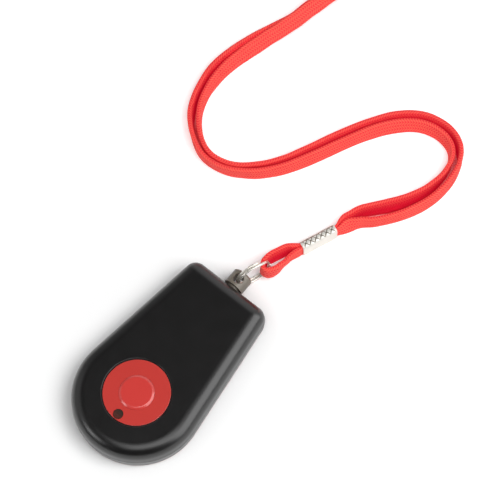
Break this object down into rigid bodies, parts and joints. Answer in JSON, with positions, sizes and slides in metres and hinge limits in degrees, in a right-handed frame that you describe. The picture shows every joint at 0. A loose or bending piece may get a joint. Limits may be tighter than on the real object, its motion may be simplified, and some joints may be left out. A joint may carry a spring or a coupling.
{
  "type": "pendant alarm button",
  "caption": "Tapered two-shell pendant with a red press button, a swivelling eye and a split ring on a flat braided neck strap with a crimped ferrule.",
  "frame": {"origin": "on the flat back face, under the centre of the round end and of the button", "axes": "+Y along the case to the swivel eye, +Z out of the button face, +X to the right"},
  "size_m": [0.1389, 0.2278, 0.013],
  "materials": {
    "case_plastic": "satin moulded black with a fine spark texture",
    "red_overlay": "satin printed polyester overlay",
    "white_plastic": "natural moulded acetal",
    "smoked_pipe": "smoked acrylic light pipe",
    "board_laminate": "green solder mask on glass laminate",
    "screw_steel": "zinc plated steel",
    "black_moulding": "black moulded thermoset",
    "led_lens": "epoxy light emitting diode",
    "ceramic_parts": "fired ceramic",
    "antenna_copper": "bare copper wire",
    "cell_steel": "stainless cell can",
    "contact_brass": "gold flashed spring brass",
    "eye_plastic": "satin moulded black, slightly worn",
    "nickel": "bright nickel plated spring wire",
    "nickel_crimp": "nickel plated crimped sheet",
    "red_braid": "flat braided polyester with a herringbone face",
    "tie_band": "thin black tie band"
  },
  "bodies": {
    "lanyard": {"ring_loop": "red_braid", "ferrule": "nickel_crimp", "clamped_strap": "red_braid", "outer_strand": "red_braid", "inner_strand": "red_braid", "strap_coil": "red_braid", "coil_tie": "tie_band"},
    "ring": {"split_ring": "nickel"},
    "eye": {"swivel_eye": "eye_plastic"},
    "case": {"top_shell": "case_plastic", "bottom_shell": "case_plastic", "button_label": "red_overlay", "light_pipe": "smoked_pipe", "circuit_board": "board_laminate", "board_screws": "screw_steel", "switch_body": "black_moulding", "switch_cover": "screw_steel", "indicator_led": "led_lens", "controller_chip": "black_moulding", "radio_module": "board_laminate", "crystal_can": "screw_steel", "capacitors": "ceramic_parts", "resistors": "black_moulding", "antenna_wire": "antenna_copper", "coin_cell": "cell_steel", "cell_holder": "black_moulding", "cell_clip": "contact_brass", "cell_pad": "contact_brass", "case_screws": "screw_steel"},
    "button": {"button_dome": "red_overlay", "button_plunger": "white_plastic"},
    "stem": {"switch_stem": "black_moulding"}
  },
  "joints": [
    {"name": "ring_swing", "type": "hinge", "parent": "lanyard", "child": "ring", "pos_m": [0.00386, 0.06022, 0.0063], "axis": [0, 0, 1], "range_deg": [-25, 25]},
    {"name": "eye_swing", "type": "hinge", "parent": "ring", "child": "eye", "pos_m": [0, 0.0496, 0.0063], "axis": [0, 0, 1], "range_deg": [-50, 45]},
    {"name": "case_swivel", "type": "hinge", "parent": "eye", "child": "case", "pos_m": [0, 0.0464, 0.0063], "axis": [0, 1, 0], "continuous": true},
    {"name": "button_press", "type": "slide", "parent": "case", "child": "button", "axis": [0, 0, -1], "range_m": [0, 0.0004], "stiffness_N_per_m": 800},
    {"name": "stem_press", "type": "slide", "parent": "case", "child": "stem", "axis": [0, 0, -1], "range_m": [0, 0.00036]}
  ],
  "couplings": [
    {"joint": "stem_press", "follows": "button_press", "ratio": 0.9}
  ]
}
